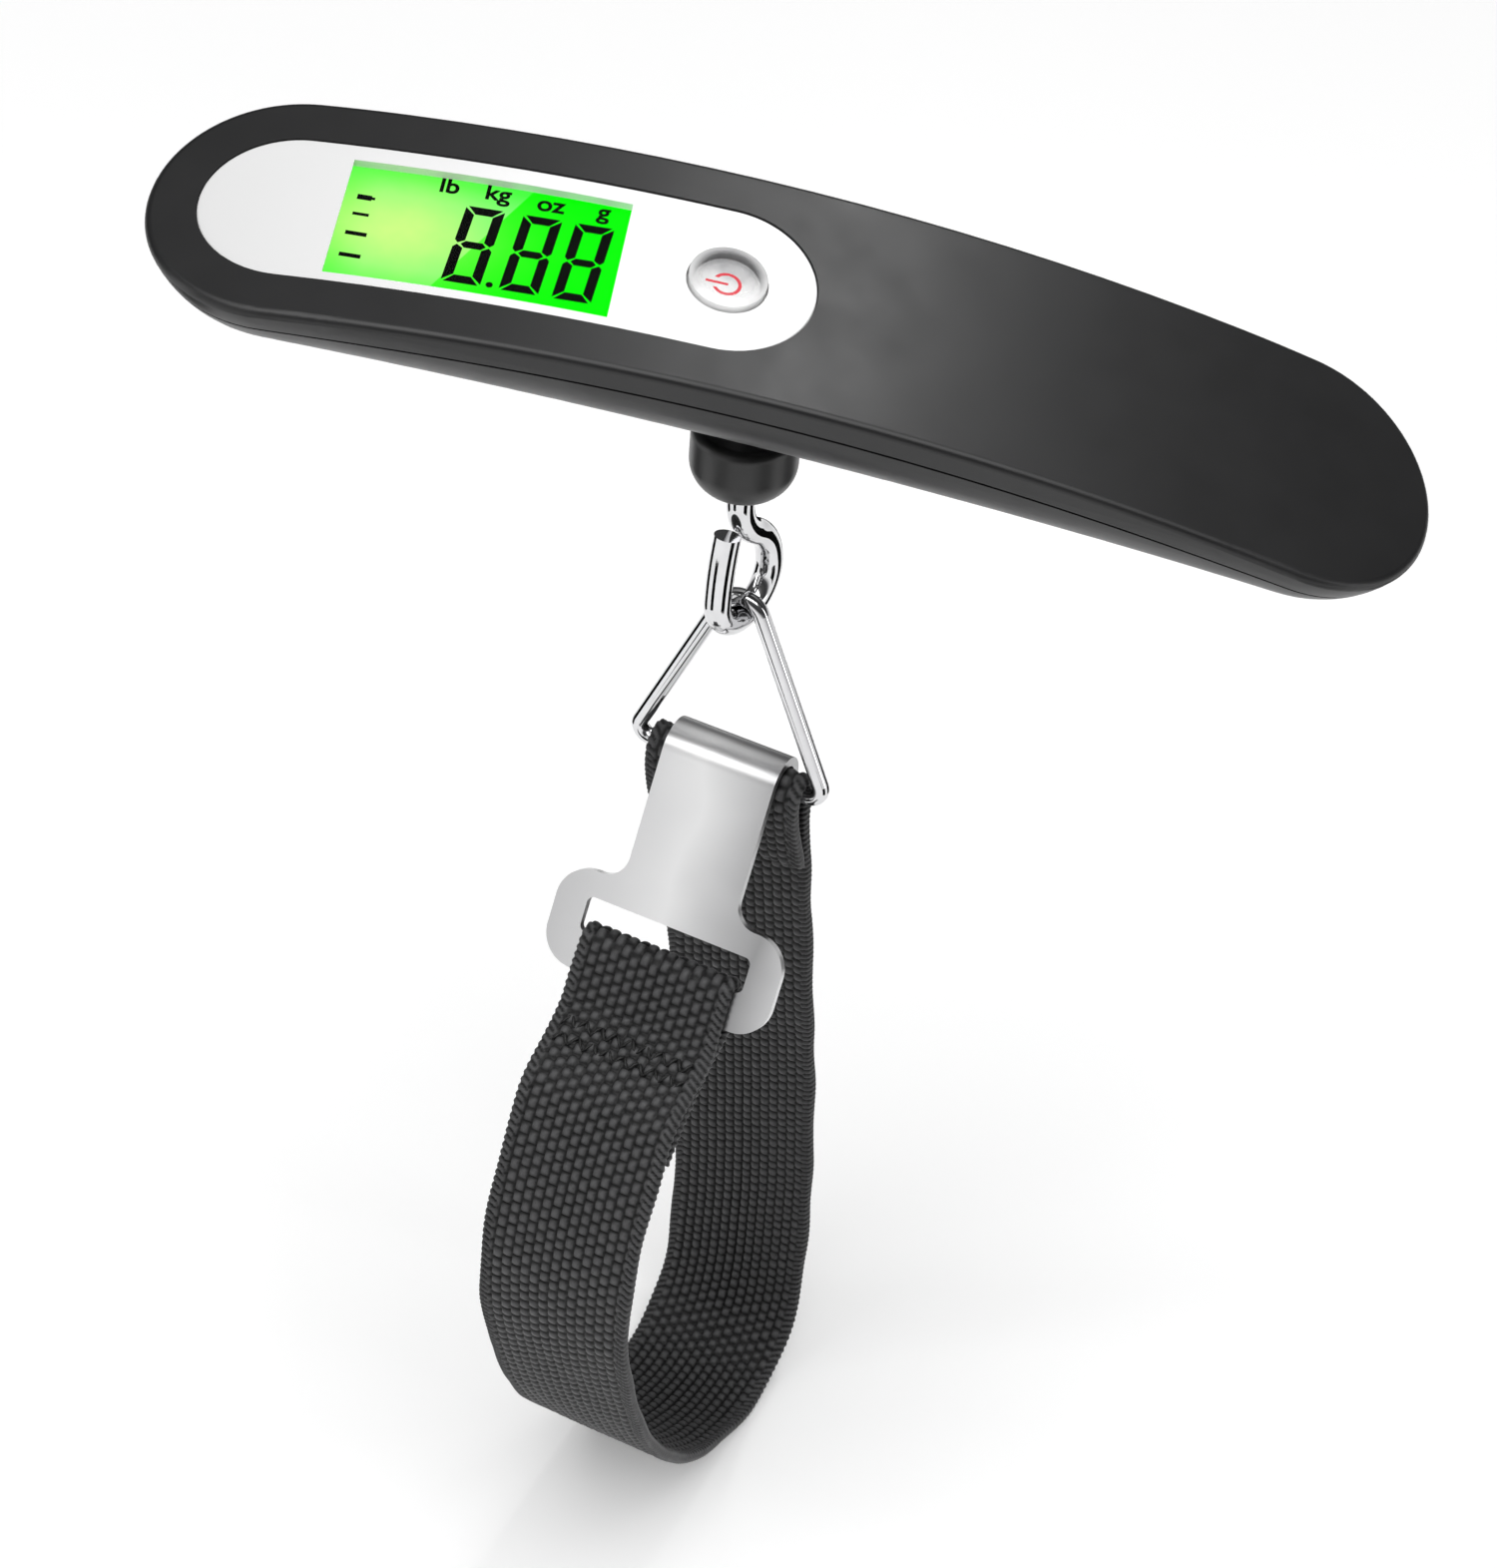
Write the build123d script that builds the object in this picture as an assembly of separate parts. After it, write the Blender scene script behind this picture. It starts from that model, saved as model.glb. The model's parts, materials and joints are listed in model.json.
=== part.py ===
from build123d import *
import math
import os

os.makedirs("parts", exist_ok=True)

# ---------------------------------------------------------------- dimensions
# All lengths in millimetres, angles in degrees.
# Row frame: origin at the crest of the handle's top face, +Z up (plumb).

LENGTH = 157.0          # handle, end to end
HALF_W = 17.3           # half the handle's depth
ARCH_R = 302.0          # radius of the arched top face
KEEL_R = 764.0          # radius of the belly line under the handle
WALL_H = 3.5            # straight side wall above the parting line
BELLY_H = 13.3          # depth of the rounded belly below the side wall
SHELL = 1.8             # moulded wall thickness
EDGE_R = 0.9            # rounding of the top edge
HANDLE_RAKE = 12.0      # the display face leans this far towards the front
HANDLE_SLOPE = 9.8      # the handle's right end hangs this much lower at rest

PANEL_X, PANEL_HALF, PANEL_R = -35.7, 35.87, 11.06     # white inlay
LCD_X, LCD_Y = -39.12, -0.54
LCD_HALF_X, LCD_HALF_Y = 16.25, 9.09
BUTTON_X, BUTTON_Y, BUTTON_R = -10.4, -0.3, 4.6
BUTTON_TRAVEL = 0.6

PIVOT_X, PIVOT_Z = -5.36, -10.5    # neck pivot in the handle's own frame
NECK_R = 6.6                       # black collar
COLLAR_TOP, COLLAR_BOTTOM = -20.2, -29.5
WIRE_R = 1.7                       # hook wire
HOOK_YAW = 28.0                    # the hook opens this far left of the front
HANG_YAW = 19.08                   # the ring and strap are turned this far
RING_WIRE_R = 1.1
RING_N, RING_W = -2.17, 0.34       # where the ring hangs on the hook
RING_Z = -50.6                     # centre of the hook wire at the lowest point
BAR_Z = -75.4                      # centre of the ring's base bar
RING_HALF = 13.9
WEB_W = 22.0                       # webbing width
WEB_T = 1.4                        # webbing thickness
PLATE_T = 1.2
PLATE_LEAN = 30.4                  # the plate leans this far from plumb
CURL_R = 3.5                       # middle of the plate's curl round the bar

END_X = LENGTH / 2 - HALF_W        # centres of the round ends

HOUSE = Rot(HANDLE_RAKE, 0, 0) * Rot(0, HANDLE_SLOPE, 0)


def to_row(p):
    """A point in the handle's frame, in the row frame."""
    v = HOUSE * Pos(*p)
    return v.position


PIVOT = to_row((PIVOT_X, 0, PIVOT_Z))
AXIS = (PIVOT.X, PIVOT.Y)          # the plumb line the hook hangs on


# ------------------------------------------------------------------ helpers
def profile(off, full, top=4.0):
    """The handle's cross-section in the YZ plane, whole or the front half only."""
    w = HALF_W - off
    b = BELLY_H - off
    with BuildSketch(Plane.YZ) as s:
        with BuildLine():
            if full:
                Line((-w, top), (w, top))
                Line((w, top), (w, -WALL_H))
                EllipticalCenterArc((0, -WALL_H), w, b, start_angle=180, arc_size=180)
                Line((-w, -WALL_H), (-w, top))
            else:
                Line((-w, top), (0, top))
                Line((0, top), (0, -WALL_H - b))
                EllipticalCenterArc((0, -WALL_H), w, b, start_angle=180, arc_size=90)
                Line((-w, -WALL_H), (-w, top))
        make_face()
    return s.sketch


def handle_body(off):
    """The handle's outside, moved in by off, before its top is arched."""
    ang = math.degrees(math.asin(END_X / KEEL_R))
    axis = Axis((0, 0, -KEEL_R), (0, 1, 0))
    middle = revolve(profile(off, True).rotate(axis, -ang), axis, 2 * ang)
    dome = revolve(profile(off, False), Axis.Z, 180)
    dome_r = dome.rotate(axis, ang)
    dome_l = dome.mirror(Plane.YZ).rotate(axis, -ang)
    return middle + dome_r + dome_l


def below(off):
    """Everything under the arched top face, moved up by off."""
    r = ARCH_R + off
    x = 95.0
    z = -ARCH_R + math.sqrt(r * r - x * x)
    with BuildSketch(Plane.XZ) as s:
        with BuildLine():
            ThreePointArc((-x, z), (0, off), (x, z))
            Line((x, z), (x, -60))
            Line((x, -60), (-x, -60))
            Line((-x, -60), (-x, z))
        make_face()
    return extrude(s.sketch, 40, both=True)


def column(sk, z0=-45.0, z1=12.0):
    """A straight column along the handle's own Z over a flat sketch."""
    return extrude(Pos(0, 0, z0) * sk, z1 - z0)


def slot_sketch(cx, cy, half, r):
    return Pos(cx, cy) * SlotOverall(2 * half, 2 * r)


def put(part, name, where=HOUSE):
    shape = where * part
    shape.label = name
    export_step(shape, "parts/%s.step" % name)
    return shape


def group(shapes):
    """Separate solids of one kind, kept as one node."""
    whole = shapes[0]
    for one in shapes[1:]:
        whole = whole + one
    return whole


def zcyl(x, y, z0, z1, r):
    return Pos(x, y, (z0 + z1) / 2) * Cylinder(r, abs(z1 - z0))


def block(x0, x1, y0, y1, z0, z1):
    return Pos((x0 + x1) / 2, (y0 + y1) / 2, (z0 + z1) / 2) * Box(
        x1 - x0, y1 - y0, z1 - z0
    )


def tilt_at(x):
    """Frame sitting on the arched top face at x, its Z along the face's normal."""
    a = math.degrees(math.asin(x / ARCH_R))
    z = math.sqrt(ARCH_R**2 - x * x) - ARCH_R
    return Pos(x, 0, z) * Rot(0, a, 0)


# ------------------------------------------------------------------- shells
outer = handle_body(0) & below(0)
top_face = outer.faces().sort_by(lambda f: f.center().Z)[-1]
outer = fillet(top_face.outer_wire().edges(), EDGE_R)
inner = handle_body(SHELL) & below(-SHELL)
hollow = outer - inner

panel_hole = column(slot_sketch(PANEL_X, 0, PANEL_HALF, PANEL_R))
panel_pad = column(slot_sketch(PANEL_X, 0, PANEL_HALF + 1.2, PANEL_R + 1.2))

top_band = below(0.5) - below(-3.35)
rebate = handle_body(0.95) & (below(-2.1) - below(-4))
top_shell = (hollow & top_band) - rebate
top_shell += (below(-1.5) - below(-2.7)) & panel_pad & handle_body(1.2)
top_shell -= panel_hole & (below(0.8) - below(-1.3))
lcd_frame = tilt_at(LCD_X)
lcd_pocket = lcd_frame * Pos(0, LCD_Y, -2.5) * Box(34.6, 20.6, 5)
top_shell -= lcd_pocket
button_frame = tilt_at(BUTTON_X) * Pos(0, BUTTON_Y, 0)
top_shell -= button_frame * Pos(0, 0, -2.5) * Cylinder(5.7, 5)
# screw bosses at both ends
for sx in (-69, 69):
    top_shell += (zcyl(sx, 0, -14.0, -6, 2.9) & below(-1.45)) - zcyl(sx, 0, -18, -10.4, 0.95)

lip = (handle_body(1.0) - handle_body(SHELL)) & (below(-2.3) - below(-4.2))
bottom_shell = (hollow & below(-3.65)) + lip

# slot for the neck, long enough for its swing
neck_slot = column(Pos(PIVOT_X + 0.4, -1.4) * SlotOverall(17.5, 11.4), -30, -12)
bottom_shell -= neck_slot
# post block under the fixed end of the load cell
bottom_shell += block(29.0, 40.0, -5, 5, -17.0, -13.0) & handle_body(1.0)
for sx in (32.0, 37.5):
    bottom_shell -= zcyl(sx, 0, -16.6, -12.9, 1.25)
# screw bosses and counterbores
for sx in (-69, 69):
    bottom_shell += (zcyl(sx, 0, -24, -14.15, 3.4) & handle_body(0.9))
    bottom_shell -= zcyl(sx, 0, -26, -10, 1.15)
    bottom_shell -= zcyl(sx, 0, -26, -16.4, 2.3)

# battery door
door_x0, door_x1, door_y = 42.0, 65.0, 13.6


def door_sketch(gap):
    return Pos((door_x0 + door_x1) / 2, 0) * RectangleRounded(
        door_x1 - door_x0 - 2 * gap, 2 * (door_y - gap), 3.0 - gap
    )


bottom_shell -= column(door_sketch(0), -40, -8) & below(-3.65)
door = column(door_sketch(0.22), -40, -8) & (handle_body(0) - handle_body(1.5)) & below(-3.9)
# finger notch in the door's outer end
door -= Pos(62.2, 0, -21.2) * Rot(90, 0, 0) * Cylinder(2.6, 9)

put(top_shell, "top_shell")
put(bottom_shell, "bottom_shell")
put(door, "battery_cover")

# ------------------------------------------------------ display, left half
panel = column(slot_sketch(PANEL_X, 0, PANEL_HALF - 0.08, PANEL_R - 0.08)) & (
    below(-0.2) - below(-1.25)
)
panel = fillet(panel.faces().sort_by(lambda f: f.center().Z)[-1].outer_wire().edges(), 0.25)
panel -= column(Pos(LCD_X, LCD_Y) * Rectangle(2 * LCD_HALF_X, 2 * LCD_HALF_Y))
panel -= button_frame * Cylinder(BUTTON_R + 0.22, 8)
put(panel, "display_panel")

lens = column(
    Pos(LCD_X, LCD_Y) * Rectangle(2 * LCD_HALF_X - 0.08, 2 * LCD_HALF_Y - 0.08)
) & (below(-0.22) - below(-1.2))
put(lens, "display_lens")

lcd = lcd_frame * Pos(0, LCD_Y, -2.65) * Box(34.2, 20.2, 1.7)
put(lcd, "lcd_glass")
backlight = lcd_frame * Pos(0, LCD_Y, -4.65) * Box(34, 16.4, 2.2)
put(backlight, "backlight")
strips = [
    lcd_frame * Pos(0, LCD_Y + s * 9.2, -4.77) * Box(28, 1.3, 2.45) for s in (-1, 1)
]
put(group(strips), "elastomer_strips")
board = lcd_frame * (
    Pos(7.6, 0, -6.6) * Box(56, 24, 1.2)
    - Pos(7.6 - 24, 0, -6.6) * Cylinder(1.3, 2)
)
put(board, "main_pcb")
blob = Pos(-6, 2, 1.02) * Sphere(9.42) & Pos(-6, 2, -9.2) * Box(12, 12, 4)
blob = lcd_frame * blob
put(blob, "controller_blob")

# the switch stands on the board under the button
button_local = (lcd_frame.inverse() * button_frame).position
sw_x = button_local.X
switch = lcd_frame * (
    Pos(sw_x - 0.1, BUTTON_Y, -5.25) * Box(4.6, 4.6, 1.5)
    + Pos(sw_x - 0.1, BUTTON_Y, -4.25) * Cylinder(1.2, 0.5)
)
put(switch, "tact_switch")

# clear domed button with a flange that keeps it under the panel
cap_r = BUTTON_R
dome_h = 1.55
sph = (cap_r**2 + 0.95**2) / (2 * 0.95)
button = Pos(0, 0, (dome_h - 1.45) / 2) * Cylinder(cap_r, dome_h + 1.45)
button &= Pos(0, 0, dome_h - sph) * Sphere(sph)
button += Pos(0, 0, -1.75) * Cylinder(5.35, 0.6)
button -= Pos(0, 0, -1.35) * Cylinder(3.9, 1.5)
put(button, "power_button", HOUSE * button_frame)
insert = Pos(0, 0, -0.95) * Cylinder(3.85, 0.6) + Pos(0, 0, -1.6) * Cylinder(1.5, 0.7)
put(insert, "button_insert", HOUSE * button_frame)

# --------------------------------------------- load cell and its fixtures
bar = block(2.0, 40.0, -5, 5, -13.0, -7.0)
for hx in (14.5, 22.5):
    bar -= Pos(hx, 0, -10) * Rot(90, 0, 0) * Cylinder(2.1, 12)
bar -= block(14.5, 22.5, -6, 6, -10.7, -9.3)
for hx in (32.0, 37.5):
    bar -= zcyl(hx, 0, -14, -6, 1.6)
bar -= zcyl(5.2, 0, -14, -6, 1.25)
put(bar, "load_cell")
gauges = [block(x - 2, x + 2, -2.2, 2.2, -6.98, -6.86) for x in (14.5, 22.5)]
put(group(gauges), "strain_gauges")
yoke = block(-2.2, 8.2, -6.55, 6.55, -6.98, -5.5) - zcyl(5.2, 0, -8, -5, 1.6)
for s in (-1, 1):
    cheek = block(-8.8, 8.2, -0.745, 0.745, -13.4, -6.5)
    yoke += Pos(0, s * 5.805, 0) * cheek
for s in (-1, 1):
    yoke -= Pos(PIVOT_X, s * 5.8, PIVOT_Z) * Rot(90, 0, 0) * Cylinder(1.5, 3)
put(yoke, "cell_yoke")
pin = Pos(PIVOT_X, 0, PIVOT_Z) * Rot(90, 0, 0) * Cylinder(1.5, 13.6)
put(pin, "neck_pin")


def screw(r, head_r, head_h, length, z_seat, x, up=True):
    """A pan-head screw with a cross recess, standing on z_seat."""
    s = 1 if up else -1
    body = zcyl(x, 0, z_seat, z_seat - s * length, r)
    head = zcyl(x, 0, z_seat, z_seat + s * head_h, head_r)
    head = fillet(
        (head.faces().sort_by(Axis.Z)[-1] if up else head.faces().sort_by(Axis.Z)[0]).edges(),
        head_h * 0.45,
    )
    top = z_seat + s * head_h
    for a in (0, 90):
        head -= Pos(x, 0, top) * Rot(0, 0, a) * Box(head_r * 1.15, head_r * 0.26, head_h)
    return body + head


cell_screws = [
    screw(1.22, 2.4, 1.3, 5.6, -5.5, 5.2),
    screw(1.22, 2.4, 1.3, 9.4, -7.0, 32.0),
    screw(1.22, 2.4, 1.3, 9.4, -7.0, 37.5),
]
put(group(cell_screws), "load_cell_screws")
case_screws = [screw(0.93, 1.9, 1.1, 4.6, -16.4, x, up=False) for x in (-69, 69)]
put(group(case_screws), "case_screws")

# ------------------------------------------------------ coin cell and wires
CELL_X = 53.5
tray = (block(42.4, 64.4, -11.3, 11.3, -12.8, -9.5) & handle_body(SHELL + 0.1)) & below(
    -SHELL - 0.1
)
tray -= zcyl(CELL_X, 0, -14, -10.6, 10.25)
put(tray, "cell_tray")
cell = zcyl(CELL_X, 0, -14.1, -10.95, 10.0)
cell = fillet(cell.edges().filter_by(GeomType.CIRCLE), 0.35)
put(cell, "coin_cell")
plus = block(50.5, 56.5, -3.0, 3.0, -10.9, -10.65) + block(50.5, 51.5, -0.4, 0.4, -10.9, -10.65)
put(plus, "contact_plus")
minus = block(42.5, 44.6, -2.0, 2.0, -14.7, -14.45) + block(42.5, 42.75, -2.0, 2.0, -14.7, -12.85)
minus += block(44.6, 49.0, -2.0, 2.0, -14.45, -14.2)
minus = block(42.15, 50.0, -2.0, 2.0, -14.5, -14.15) + block(42.0, 42.35, -2.0, 2.0, -14.5, -9.5)
put(minus, "contact_minus")


def wire(points, radii, r):
    path = FilletPolyline(*points, radius=radii)
    start = Plane(origin=path @ 0, z_dir=path % 0)
    return sweep(start * Circle(r), path=path)


def board_point(x, y):
    """A point on the board's underside, above a place in the handle's frame."""
    f = lcd_frame
    a = math.radians(math.degrees(math.asin(LCD_X / ARCH_R)))
    zc = f.position.Z
    # plane through frame point, tilted by a; underside 7.2 below along its normal
    z = zc - (x - f.position.X) * math.tan(a) - 7.2 / math.cos(a)
    return (x, y, z)


gauge_wires = []
for i, y in enumerate((-2.0, -0.7, 0.7, 2.0)):
    yy = -8.6 - 0.9 * i
    gx = 14.5 if i % 2 else 12.7
    gx = 16.6 + 0.0 * i
    sx = 18.4 + 0.75 * i
    end = board_point(-9.0 - 1.4 * i, yy)
    pts = [
        (sx, -5.08, -7.6 - 0.0 * i),
        (sx, yy, -7.6),
        (end[0], yy, -7.6),
        (end[0], yy, end[2] - 0.02),
    ]
    gauge_wires.append(wire(pts, 0.7, 0.32))
put(group(gauge_wires), "gauge_wires")

battery_wires = []
for i, (sx, yy, sz) in enumerate(((42.3, 8.4, -11.2), (42.3, 9.9, -11.2))):
    end = board_point(-8.0 - 2.0 * i, yy)
    pts = [
        (sx, yy, sz),
        (38.0, yy, sz),
        (34.0, yy, -8.4),
        (end[0], yy, -8.4),
        (end[0], yy, end[2] - 0.02),
    ]
    battery_wires.append(wire(pts, 1.2, 0.45))
put(group(battery_wires), "battery_wires")

# --------------------------------------------------------- neck and collar
PZ = PIVOT.Z
neck_at = Pos(AXIS[0], AXIS[1], 0)
# steel eye: the head takes the cross pin, the shank screws into the collar
hinge_turn = Rot(HANDLE_RAKE, 0, 0)
eye = Pos(0, 0, PZ) * hinge_turn * Rot(90, 0, 0) * Cylinder(3.1, 8.8)
eye += zcyl(0, 0, PZ - 1.5, COLLAR_TOP - 2.6, 3.1)
eye -= Pos(0, 0, PZ) * hinge_turn * Rot(90, 0, 0) * Cylinder(1.54, 14)
put(eye, "neck_eye", neck_at)

collar = zcyl(0, 0, COLLAR_BOTTOM, COLLAR_TOP, NECK_R)
collar = fillet(collar.faces().sort_by(Axis.Z)[0].edges(), 4.5)
collar = fillet(collar.faces().sort_by(Axis.Z)[-1].edges(), 1.2)
collar -= zcyl(0, 0, -31, -18, WIRE_R + 0.05)
collar -= zcyl(0, 0, -27.2, -18, 3.5)
collar -= zcyl(0, 0, COLLAR_TOP - 2.6, -18, 3.1)
put(collar, "neck_collar", neck_at)
washer = zcyl(0, 0, -27.2, -26.6, 3.4) - zcyl(0, 0, -28, -26, WIRE_R + 0.06)
put(washer, "thrust_washer", neck_at)

# --------------------------------------------------------------------- hook
hook_at = neck_at * Rot(0, 0, -HOOK_YAW)
# in this frame -Y is the way the hook opens
HOOK_BACK, HOOK_TIP = 7.45, -3.3      # the two sides of the hook's bend
S_TOP, U_Z = -31.2, -45.225            # where the S-bend starts, centre of the U
half_y, half_z = HOOK_BACK / 2, (U_Z - S_TOP) / 2
bend_r = (half_y**2 + half_z**2) / (2 * half_y)
bend_a = math.asin(-half_z / bend_r) / 2
sag_y, sag_z = bend_r * (1 - math.cos(bend_a)), -bend_r * math.sin(bend_a)
u_r = (HOOK_BACK - HOOK_TIP) / 2
u_y = (HOOK_BACK + HOOK_TIP) / 2
with BuildLine(Plane.YZ) as hl:
    Line((0, -23.6), (0, S_TOP))
    ThreePointArc((0, S_TOP), (sag_y, S_TOP + sag_z), (half_y, S_TOP + half_z))
    ThreePointArc(
        (half_y, S_TOP + half_z), (HOOK_BACK - sag_y, U_Z - sag_z), (HOOK_BACK, U_Z)
    )
    ThreePointArc((HOOK_BACK, U_Z), (u_y, U_Z - u_r), (HOOK_TIP, U_Z))
    TangentArc((HOOK_TIP, U_Z), (-2.2, -35.6), tangent=(0, 1))
hook = sweep(Plane(origin=(0, 0, -23.6), z_dir=(0, 0, -1)) * Circle(WIRE_R), path=hl.line)
put(hook, "hook", hook_at)
nut = zcyl(0, 0, -26.5, -23.9, 3.1) - zcyl(0, 0, -28, -23, WIRE_R)
put(nut, "hook_nut", hook_at)

# --------------------------------------------------------------------- ring
hang_at = neck_at * Rot(0, 0, -HANG_YAW) * Pos(RING_W, -RING_N, 0)
# in this frame X runs along the ring's base bar, -Y is the strap's front
apex_r = 2.95
leg = math.atan(RING_HALF / (RING_Z - BAR_Z)) - math.asin(
    apex_r / math.hypot(RING_HALF, RING_Z - BAR_Z)
)
apex_z = RING_Z + apex_r / math.sin(leg)
tri = [(0.0, apex_z), (RING_HALF, BAR_Z), (-RING_HALF, BAR_Z)]


def rounded_loop(points, radii):
    """Closed loop of straight runs joined by tangent arcs, as edges in XZ."""
    n = len(points)
    arcs = []
    for i in range(n):
        p0, p, p1 = points[i - 1], points[i], points[(i + 1) % n]
        a = Vector(p0[0] - p[0], 0, p0[1] - p[1]).normalized()
        b = Vector(p1[0] - p[0], 0, p1[1] - p[1]).normalized()
        half = math.acos(a.dot(b)) / 2
        t = radii[i] / math.tan(half)
        c = Vector(p[0], 0, p[1]) + (a + b).normalized() * (radii[i] / math.sin(half))
        s = Vector(p[0], 0, p[1]) + a * t
        e = Vector(p[0], 0, p[1]) + b * t
        m = c + (Vector(p[0], 0, p[1]) - c).normalized() * radii[i]
        arcs.append((s, m, e))
    edges = []
    for i in range(n):
        s, m, e = arcs[i]
        edges.append(Edge.make_three_point_arc(s, m, e))
        edges.append(Edge.make_line(e, arcs[(i + 1) % n][0]))
    return edges, arcs


edges, arcs = rounded_loop(tri, [apex_r, 1.8, 1.8])
ring = None
for e in edges:
    start = Plane(origin=e @ 0, z_dir=e % 0)
    piece = sweep(start * Circle(RING_WIRE_R), path=e)
    ring = piece if ring is None else ring + piece
put(ring, "triangle_ring", hang_at)

# -------------------------------------------------------------- hook plate
lean = math.radians(PLATE_LEAN)
plate_at = hang_at
# flat part: s runs down the plate from the curl, u runs across it
S_SHOULDER, S_SLOT0, S_SLOT1, S_END = 18.2, 21.6, 26.4, 31.6
HALF_NECK, HALF_OUT, HALF_SLOT = 7.9, 16.2, 11.8


def flat_outline():
    pts = [
        (-HALF_NECK, 0.0),
        (-HALF_NECK, -S_SHOULDER),
        (-HALF_OUT, -S_SHOULDER),
        (-HALF_OUT, -S_END),
        (HALF_OUT, -S_END),
        (HALF_OUT, -S_SHOULDER),
        (HALF_NECK, -S_SHOULDER),
        (HALF_NECK, 0.0),
    ]
    with BuildSketch() as s:
        with BuildLine():
            Polyline(*pts, close=True)
        make_face()
        vs = s.vertices()
        inner_v = [v for v in vs if abs(abs(v.X) - HALF_NECK) < 1e-6 and v.Y < -1]
        fillet(inner_v, 3.2)
        outer_v = [v for v in s.vertices() if abs(abs(v.X) - HALF_OUT) < 1e-6]
        fillet(outer_v, 4.6)
        with Locations((0, -(S_SLOT0 + S_SLOT1) / 2)):
            RectangleRounded(2 * HALF_SLOT, S_SLOT1 - S_SLOT0, 0.9, mode=Mode.SUBTRACT)
    return s.sketch


flat = extrude(flat_outline(), PLATE_T / 2, both=True)
# the sketch's -Y becomes down the plate, its Z the plate's front
bar_c = (0.0, 0.0, BAR_Z)
plate_frame = Pos(*bar_c) * Rot(-PLATE_LEAN, 0, 0)
flat = plate_frame * Pos(0, -CURL_R, 0) * Rot(90, 0, 0) * flat
with BuildSketch(Plane.YZ) as cs:
    # curl from the front tangent point over the bar to the back
    a_front = 180.0
    a_end = PLATE_LEAN
    with BuildLine():
        r_o, r_i = CURL_R + PLATE_T / 2, CURL_R - PLATE_T / 2
        CenterArc((0, 0), r_o, a_end, a_front - a_end)
        CenterArc((0, 0), r_i, a_end, a_front - a_end)
        ca, sa = math.cos(math.radians(a_end)), math.sin(math.radians(a_end))
        Line((r_i * ca, r_i * sa), (r_o * ca, r_o * sa))
        Line((-r_i, 0), (-r_o, 0))
    make_face()
curl = extrude(cs.sketch, HALF_NECK, both=True)
curl = plate_frame * curl
lip = Pos(0, CURL_R, BAR_Z - 1.2) * Box(2 * HALF_NECK, PLATE_T, 2.4)
plate = flat + curl + lip
put(plate, "hook_plate", plate_at)

# ----------------------------------------------------------------- webbing
# centre line of the strap in the (front, up) plane of the hanging frame,
# from the ring's bar down the back, round the bottom and up to the plate
loop = [
    (-7.3, -97.2), (-11.6, -119.2), (-14.4, -133.5), (-16.8, -148.0), (-18.5, -162.0),
    (-19.3, -176.0), (-18.7, -186.8), (-15.9, -193.6), (-10.3, -197.6), (-3.0, -198.0),
    (6.0, -194.6), (15.4, -188.2), (23.9, -178.9), (30.8, -167.2), (35.9, -155.0),
    (39.0, -144.2), (39.8, -134.3), (38.6, -126.3), (35.9, -118.9), (32.4, -112.6),
    (28.8, -108.1),
]
loop = [(f - RING_N, z) for f, z in loop]
BOTTOM_I = 9     # the split between the two webbing ends is at this point

cosl, sinl = math.cos(lean), math.sin(lean)


def plate_pt(s, d):
    """A point s down the plate from the curl and d in front of its middle, (front, up)."""
    f = CURL_R * cosl + s * sinl + d * cosl
    z = BAR_Z + CURL_R * sinl - s * cosl + d * sinl
    return (f, z)


def catmull(points, n=8):
    out = []
    for i in range(len(points) - 1):
        p0 = points[max(i - 1, 0)]
        p1, p2 = points[i], points[i + 1]
        p3 = points[min(i + 2, len(points) - 1)]
        for k in range(n):
            t = k / n
            out.append(
                tuple(
                    0.5
                    * (
                        2 * p1[j]
                        + (p2[j] - p0[j]) * t
                        + (2 * p0[j] - 5 * p1[j] + 4 * p2[j] - p3[j]) * t * t
                        + (3 * p1[j] - p0[j] - 3 * p2[j] + p3[j]) * t**3
                    )
                    for j in (0, 1)
                )
            )
    out.append(points[-1])
    return out


def offset(points, d):
    out = []
    for i, p in enumerate(points):
        a = points[max(i - 1, 0)]
        b = points[min(i + 1, len(points) - 1)]
        tx, tz = b[0] - a[0], b[1] - a[1]
        l = math.hypot(tx, tz)
        out.append((p[0] - tz / l * d, p[1] + tx / l * d))
    return out


def resample(points, n):
    d = [0.0]
    for a, b in zip(points, points[1:]):
        d.append(d[-1] + math.hypot(b[0] - a[0], b[1] - a[1]))
    out = []
    j = 0
    for k in range(n):
        s = d[-1] * k / (n - 1)
        while j < len(d) - 2 and d[j + 1] < s:
            j += 1
        t = (s - d[j]) / (d[j + 1] - d[j])
        out.append(
            (
                points[j][0] + (points[j + 1][0] - points[j][0]) * t,
                points[j][1] + (points[j + 1][1] - points[j][1]) * t,
            )
        )
    return out


def strip(one, two):
    """A flat band of the webbing's width between two lines in (front, up)."""
    v = [Vector(0, -f, z) for f, z in one]
    w = [Vector(0, -f, z) for f, z in two][::-1]
    e1 = Edge.make_spline(v)
    e2 = Edge.make_spline(w)
    e3 = Edge.make_line(v[-1], w[0])
    e4 = Edge.make_line(w[-1], v[0])
    face = Face(Wire([e1, e3, e2, e4]))
    return extrude(face, WEB_W / 2, dir=(1, 0, 0), both=True)


def band(points, thick, n):
    """A flat band along a centre line in (front, up)."""
    pts = resample(points, n)
    return strip(offset(pts, thick / 2), offset(pts, -thick / 2))


WRAP_R = RING_WIRE_R + 0.07 + WEB_T / 2      # webbing's middle round the bar
T = WEB_T
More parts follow.
